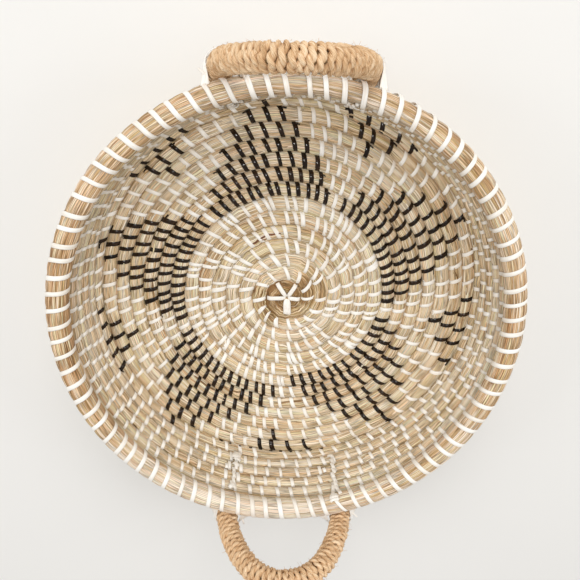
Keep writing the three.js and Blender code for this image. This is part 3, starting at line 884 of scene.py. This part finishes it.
def plant_twine(name):
    """Twine spun from tan plant fibre, as of water hyacinth: matt and rather rough, pale on its
    crests and brown between them, as painted light and painted shade. The fibres run aslant along
    each ply. They are hair-fine, and are drawn 0.4 mm wide and 6 mm long so that they show."""
    m = bare_material(name)
    lay = node(m, "UVMap", LAY)[0]
    split = node(m, "SeparateXYZ", {}, i0=lay)
    slant = node(m, "Math", TIMES_PLUS, i0=split[0], i1=0.55, i2=split[1])[0]
    lines = node(m, "CombineXYZ", {}, i0=split[0], i1=slant)[0]
    fine = node(m, "VectorMath", TIMES, i0=lines, i1=(160.0, 2400.0, 1.0))[0]
    fibre = node(m, "TexNoise", FLAT, Vector=fine, Scale=1.0, Detail=4.0, Roughness=0.65)[0]
    wide = node(m, "VectorMath", TIMES, i0=lay, i1=(30.0, 200.0, 1.0))[0]
    broad = node(m, "TexNoise", FLAT, Vector=wide, Scale=1.0)[0]
    tone = node(m, "Attribute", TONE)["Fac"]
    pick = node(m, "Math", TIMES_PLUS, i0=broad, i1=0.5, i2=-0.27)[0]
    # The tone carries painted highlight on the plies' crests and painted shade between them.
    for part, weight in ((fibre, 1.0), (tone, 0.055)):
        pick = node(m, "Math", TIMES_PLUS, i0=part, i1=weight, i2=pick)[0]
    steps = [(0.22, "#7C5836"), (0.42, "#BE956A"), (0.58, "#DFB98E"), (0.8, "#F7DDBA")]
    colour = node(m, "ValToRGB", {"steps": steps}, i0=pick)[0]
    bump = node(m, "Bump", {}, Height=fibre, Strength=0.7, Distance=0.0004)[0]
    return surfaced(m, Base_Color=colour, Roughness=0.78, Normal=bump, IOR=1.45, Specular_IOR_Level=0.3)


twine_fibre = plant_twine("tan_plant_twine")
for cord in (back_twine, front_twine, back_fuzz, front_fuzz):
    cord.data.materials.append(twine_fibre)
    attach(cord, "root")
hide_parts("back_handle_wrap")
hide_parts("front_handle_wrap")


def cane(name, side, rings=160, sides=20):
    """The stiff cane in a handle: a round rod bent along the arch, a little thinner than its solid,
    with slight swellings at its joints."""
    travel = np.linspace(0.2, ARCH_LENGTH - 0.2, rings)
    angle = np.linspace(0, 2 * np.pi, sides, endpoint=False)[:, None]
    point, outward, sideways = arch_frame(travel)[:3]
    thick = CORE_RADIUS - 0.35 + 0.2 * np.exp(-(((travel % 97) / 3 - 4) ** 2))
    ring = np.cos(angle) * sideways[:, None] + np.sin(angle) * outward[:, None]
    points = (point[:, None] + ring * thick[:, None, None]) * MM * [side, side, 1]
    faces, places = tube_faces(rings, sides)
    lay = np.stack([travel[places[..., 0]], places[..., 1] / sides * 2 * np.pi * CORE_RADIUS], -1) * MM
    return mesh_piece(name, points.reshape(-1, 3), faces, lay, np.zeros(rings * sides))


def bent_cane(name):
    """Peeled cane: smooth and pale yellow-brown, with pores 0.7 mm wide and 17 mm long along it, and
    a faint natural gloss."""
    m = bare_material(name)
    lay = node(m, "UVMap", LAY)[0]
    fine = node(m, "VectorMath", TIMES, i0=lay, i1=(60.0, 1500.0, 1.0))[0]
    pores = node(m, "TexNoise", FLAT, Vector=fine, Scale=1.0, Detail=3.0)[0]
    steps = [(0.3, "#9C7A4C"), (0.5, "#C9A570"), (0.7, "#DFC08C")]
    colour = node(m, "ValToRGB", {"steps": steps}, i0=pores)[0]
    bump = node(m, "Bump", {}, Height=pores, Strength=0.4, Distance=0.0003)[0]
    return surfaced(m, Base_Color=colour, Roughness=0.45, Normal=bump, IOR=1.48)


rod = bent_cane("peeled_cane")
for place, side in (("back", 1), ("front", -1)):
    core = cane(f"cane_of_the_{place}_handle", side)
    core.data.materials.append(rod)
    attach(core, "root")
    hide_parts(f"{place}_handle_core")


# What ties the handles on. At two heights on each leg, three turns of the white strip go through the
# wall and round the leg. Inside, the strip climbs the wall beside the leg and is knotted. Two more
# strips hold each leg from under the rim, and at the front right leg one crosses the rim.

TIE_WIDTH = 3.1
TIE_STEP = 2.9
CUT_END_WIDTH = 1.5
WALL_RADIUS = 163.0
CROSSING_WIDTH = 2.8
CROSSING_LEAN = 7.4


def away_and_along(centre):
    """Level directions at a leg: away from the tray's axis, and along the rim."""
    away = np.array(centre[:2]) / np.hypot(centre[0], centre[1])
    return away, np.array([-away[1], away[0]])


def tie_bands(centre):
    """Three strips side by side round the outside of a leg. From above each is a U, with its ends
    inside the wall."""
    away, along = away_and_along(centre)
    swing = np.linspace(0, np.pi, 15)
    straight = np.linspace(-BAR_RADIUS - 6.5, -1.5, 5)
    bow = BAR_RADIUS + 0.55
    flare = bow + 4.5 * np.linspace(1, 0, 5) ** 1.5
    out = np.concatenate([straight, bow * np.sin(swing), straight[::-1]])
    wide = np.concatenate([-flare, -bow * np.cos(swing), flare[::-1]])
    wave = np.linspace(-1, 1, len(out))
    turns = []
    for k in (-1, 0, 1):
        rise = TIE_STEP * k + 0.7 * wave + 0.25 * np.sin(5 * wave + 2 * k)
        swell = 1 + 0.02 * k * np.sin(4 * wave)
        flat = np.outer(out * swell + rise * LEG_SLOPE, away) + np.outer(wide * swell, along)
        turns.append(np.array(centre) + np.column_stack([flat, rise]))
    line = np.array(turns)
    outward = unit(np.gradient(line, axis=1)[..., [1, 0, 2]] * [1, -1, 0])
    return bands(line * MM, outward, TIE_WIDTH + 0 * line[..., 0])


def wall_bands(spots):
    """Flat strips on the inner face of the wall and the rim, each drawn from one spot to the next
    with a slight bow. For each strip: a length along the section and a turn for either end, then
    its width and lift."""
    share = np.linspace(0, 1, 11)[None, :, None]
    at = spots[:, None, :2] + (spots[:, None, 2:4] - spots[:, None, :2]) * share
    above, share = at[..., 0] - RIM_MIDDLE, share[..., 0]
    skin = np.sqrt(np.maximum((RIM_DIAMETER / 2) ** 2 - above**2, COIL_DEPTH**2))
    tilt = np.where(skin > COIL_DEPTH, above / skin, 0)
    out = skin + spots[:, 5:] + 0.6 * np.sin(np.pi * share) - 1.4 * np.abs(2 * share - 1) ** 8
    line = tray_point(at[..., 0], out, at[..., 1])
    outward = unit(tray_point(at[..., 0] + tilt, out + 1, at[..., 1]) - line)
    return bands(line, outward, spots[:, 4:5] + 0 * out)


def inner_ties(name, legs):
    """What shows inside the wall at each leg: strips that climb from the floor's edge to the rim,
    two to a round and overlapping. The left legs have a flat knot at the foot of the climb. The
    front right leg has a small one there and three strips on the rim, and the back right leg has
    one wide loop below the rim. Each strip is given by its two ends, up the wall and aside from the
    leg in millimetres, its width and its lift."""
    spots = []
    for hand, (low, high) in zip(("left", "right") * 2, legs):
        low_end = WALL_FOOT + (low[2] - WALL_FOOT_HEIGHT) / np.sin(BEND_ANGLE) - 9
        climb = np.arange(low_end, WALL_TOP - 8, PITCH / 2)
        sway = chance.normal(0, 0.6, len(climb))
        foot, head = climb[0], WALL_TOP - 3.5
        strips = [
            (place - 0.5, sway[i] - 0.9, place + 7.5, sway[i] + 1.0, 3.0, 0.2 + 0.5 * (i % 2))
            for i, place in enumerate(climb)
        ]
        strips.append((foot + 9.5, -8.2, foot + 14.5, -7.2, 2.8, 0.4))
        if hand == "left":
            strips += [
                (foot - 4.6, -3.6, foot - 3.2, 4.6, 4.2, 1.2),
                (foot - 1.6, 4.2, foot - 0.4, -4.4, 4.4, 1.9),
                (foot + 1.4, -2.6, foot + 3.4, 4.4, 3.6, 1.5),
                (foot + 7.2, -2.4, foot + 10.6, 3.0, 4.6, 1.5),
                (head - 2.0, -3.5, head + 1.0, 3.0, 3.2, 0.9),
                (head - 3.5, 1.8, head + 2.2, -2.4, 3.4, 1.2),
            ]
        elif high[1] < 0:
            strips += [
                (foot - 3.0, -3.6, foot - 2.2, 2.8, 3.0, 0.9),
                (head - 4.0, -1.6, RIM_MIDDLE + 0.5, -3.4, 3.2, 0.7),
                (head - 4.0, -1.2, RIM_MIDDLE - 1.0, 3.6, 3.2, 0.7),
                (RIM_MIDDLE + 0.6, -6.0, RIM_MIDDLE + 0.2, 1.2, 2.5, 1.3),
                (RIM_MIDDLE + 2.6, -6.0, RIM_MIDDLE + 2.2, 1.2, 2.5, 1.7),
                (RIM_MIDDLE + 4.6, -6.0, RIM_MIDDLE + 4.2, 1.2, 2.5, 1.3),
            ]
        else:
            strips += [
                (head + 0.6, -5.0, head - 0.4, 4.6, 4.0, 2.6),
                (head - 1.8, 6.2, head - 4.4, 8.2, 3.0, 1.6),
            ]
        strips = np.array(strips)
        strips[:, [1, 3]] = turn_towards(high) + strips[:, [1, 3]] / (2 * np.pi * WALL_RADIUS)
        spots.append(strips)
    return band_piece(name, wall_bands(np.concatenate(spots)))


def around_the_leg(high):
    """Two strips from under the rim, round a leg and back under the rim. They leave the rim fanned
    out and flat side up, and turn edge up where they lie against the leg. A short cut end stands
    off beside them."""
    stand = handle_line(leg_sweep(RIM_HEIGHT))
    centre = np.sign(high[:2]) * stand[:2]
    away, along = away_and_along(centre)
    share = np.linspace(0, 1, 7)[:-1]
    swing = np.linspace(0, np.pi, 13)
    bow = BAR_RADIUS + 1.0 + 1.1 * np.abs(np.cos(swing))
    inward, fall, lie = -11.0 + 11.0 * share, 3.2 - 4.4 * share, 1 - 0.4 * share
    out = np.concatenate([inward, bow * np.sin(swing), inward[::-1]])
    face_up = np.concatenate([lie, 0.6 - 0.5 * np.sin(swing), lie[::-1]])[:, None]
    lines, faces = [], []
    for fan in (1.0, 4.2):
        spread = bow[0] + fan * (1 - share) ** 1.2
        wide = np.concatenate([-spread, -bow * np.cos(swing), spread[::-1]])
        rise = np.concatenate([fall, -1.2 - (2.5 + 0.5 * fan) * np.sin(swing), fall[::-1]])
        flat = np.outer(out, away) + np.outer(wide, along)
        lines.append(np.column_stack([centre + flat, RIM_HEIGHT + rise]))
        faces.append(np.column_stack([unit(flat) * (1.02 - face_up), face_up]))
    end = np.linspace(0, 1, len(out))
    flat = np.outer(-4.0 + 4.5 * end, away) + np.outer(bow[0] + 0.6 + 3.4 * end**0.7, along)
    lines.append(np.column_stack([centre + flat, RIM_HEIGHT + 0.6 + 0.6 * end]))
    faces.append(faces[0] * 0 + [0.0, 0.0, 1.0])
    width = np.array([[TIE_WIDTH], [TIE_WIDTH], [CUT_END_WIDTH]]) + 0 * end
    return bands(np.array(lines) * MM, unit(np.array(faces)), width)


def over_the_rim(high):
    """One strip across the rim, from the knot inside to beside the leg outside. It keeps to the
    rim's skin and leans along it on the way."""
    share = np.linspace(0, 1, 19)[None]
    angle = 1.25 - 1.6 * share
    at = turn_towards(high) + (-2.6 + CROSSING_LEAN * share) / RIM_GIRTH
    reach = reach_of_bundle(angle, RIM_DIAMETER / 2, RIM_DIAMETER / 2, RIM_FULLNESS) + 0.35
    return bands(*skin_line(RIM_MIDDLE, reach, angle, at), CROSSING_WIDTH + 0 * at)


legs = []
for place, hand in (("back", "left"), ("back", "right"), ("front", "left"), ("front", "right")):
    leg = []
    for tier in ("lower", "upper"):
        middle = np.mean(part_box(f"{place}_{hand}_{tier}_lashing"), axis=0) / MM
        stand = handle_line(leg_sweep(middle[2]))
        centre = [*(np.sign(middle[:2]) * stand[:2]), middle[2]]
        tie = band_piece(f"tie_of_the_{place}_{hand}_leg_{tier}", tie_bands(centre))
        tie.data.materials.append(white_strip)
        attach(tie, "root")
        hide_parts(f"{place}_{hand}_{tier}_lashing")
        leg.append(centre)
    legs.append(leg)
inside = inner_ties("ties_inside_the_wall", legs)
under = band_piece("ties_under_the_rim", np.concatenate([around_the_leg(high) for low, high in legs]))
across = band_piece("tie_across_the_rim", over_the_rim(legs[-1][1]))
for more in (inside, under, across):
    more.data.materials.append(white_strip)
    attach(more, "root")


# The table top, lamps and camera. A plain pale floor, a small bright lamp above that gives the
# edges their shadows, a large soft one behind and one at each side, and the camera at the place that
# the photograph was taken from, above the tray and a little behind it, with the same field of view.

table = bpy.data.meshes.new("table_top")
table.from_pydata([(-3, -3, 0), (3, -3, 0), (3, 3, 0), (-3, 3, 0)], [], [(0, 1, 2, 3)])
floor = bpy.data.objects.new("table_top", table)
bpy.context.scene.collection.objects.link(floor)
paint = surfaced(bare_material("pale_matt_paint"), Base_Color=linear("#E9E7E3"), Roughness=0.9)
table.materials.append(paint)


def area_lamp(name, place, size, power):
    """A square soft lamp at a place, turned to face the tray."""
    data = bpy.data.lights.new(name, "AREA")
    data.size, data.energy = size, power
    lamp = bpy.data.objects.new(name, data)
    lamp.location = place
    lamp.rotation_euler = (-Vector(place)).to_track_quat("-Z", "Y").to_euler()
    bpy.context.scene.collection.objects.link(lamp)


area_lamp("lamp_above", (-0.05, 0.25, 1.5), 0.1, 8.0)
area_lamp("lamp_behind", (0.1, 1.9, 1.6), 1.45, 19.0)
area_lamp("lamp_at_the_left", (-1.6, 0.2, 1.0), 0.9, 6.5)
area_lamp("lamp_at_the_right", (1.6, 0.2, 1.0), 0.9, 6.5)
world = bpy.data.worlds.new("pale_room")
world.use_nodes = True
world.node_tree.nodes["Background"].inputs[0].default_value = (1, 1, 1, 1)
world.node_tree.nodes["Background"].inputs[1].default_value = 0.43
bpy.context.scene.world = world

PHOTO_WIDTH = 580.0
FOCAL_LENGTH_IN_PIXELS = 600.0
SENSOR_WIDTH = 36.0
CAMERA_PLACE = np.array([-13.597, 178.027, 485.172])
CAMERA_RIGHT = np.array([0.999, 0.024, 0.025])
CAMERA_UP = np.array([-0.014, 0.939, -0.344])
view = bpy.data.cameras.new("photograph")
view.sensor_fit = "HORIZONTAL"
view.sensor_width = SENSOR_WIDTH
view.lens = SENSOR_WIDTH * FOCAL_LENGTH_IN_PIXELS / PHOTO_WIDTH
view.clip_start = 0.01
camera = bpy.data.objects.new("photograph", view)
right = unit(CAMERA_RIGHT)
up = unit(CAMERA_UP - right * np.dot(right, CAMERA_UP))
turned = np.eye(4)
turned[:3] = np.column_stack([right, up, np.cross(right, up), CAMERA_PLACE * MM])
camera.matrix_world = Matrix(turned.tolist())
bpy.context.scene.collection.objects.link(camera)
bpy.context.scene.camera = camera
bpy.context.scene.view_settings.view_transform = "Standard"

bpy.context.view_layer.update()
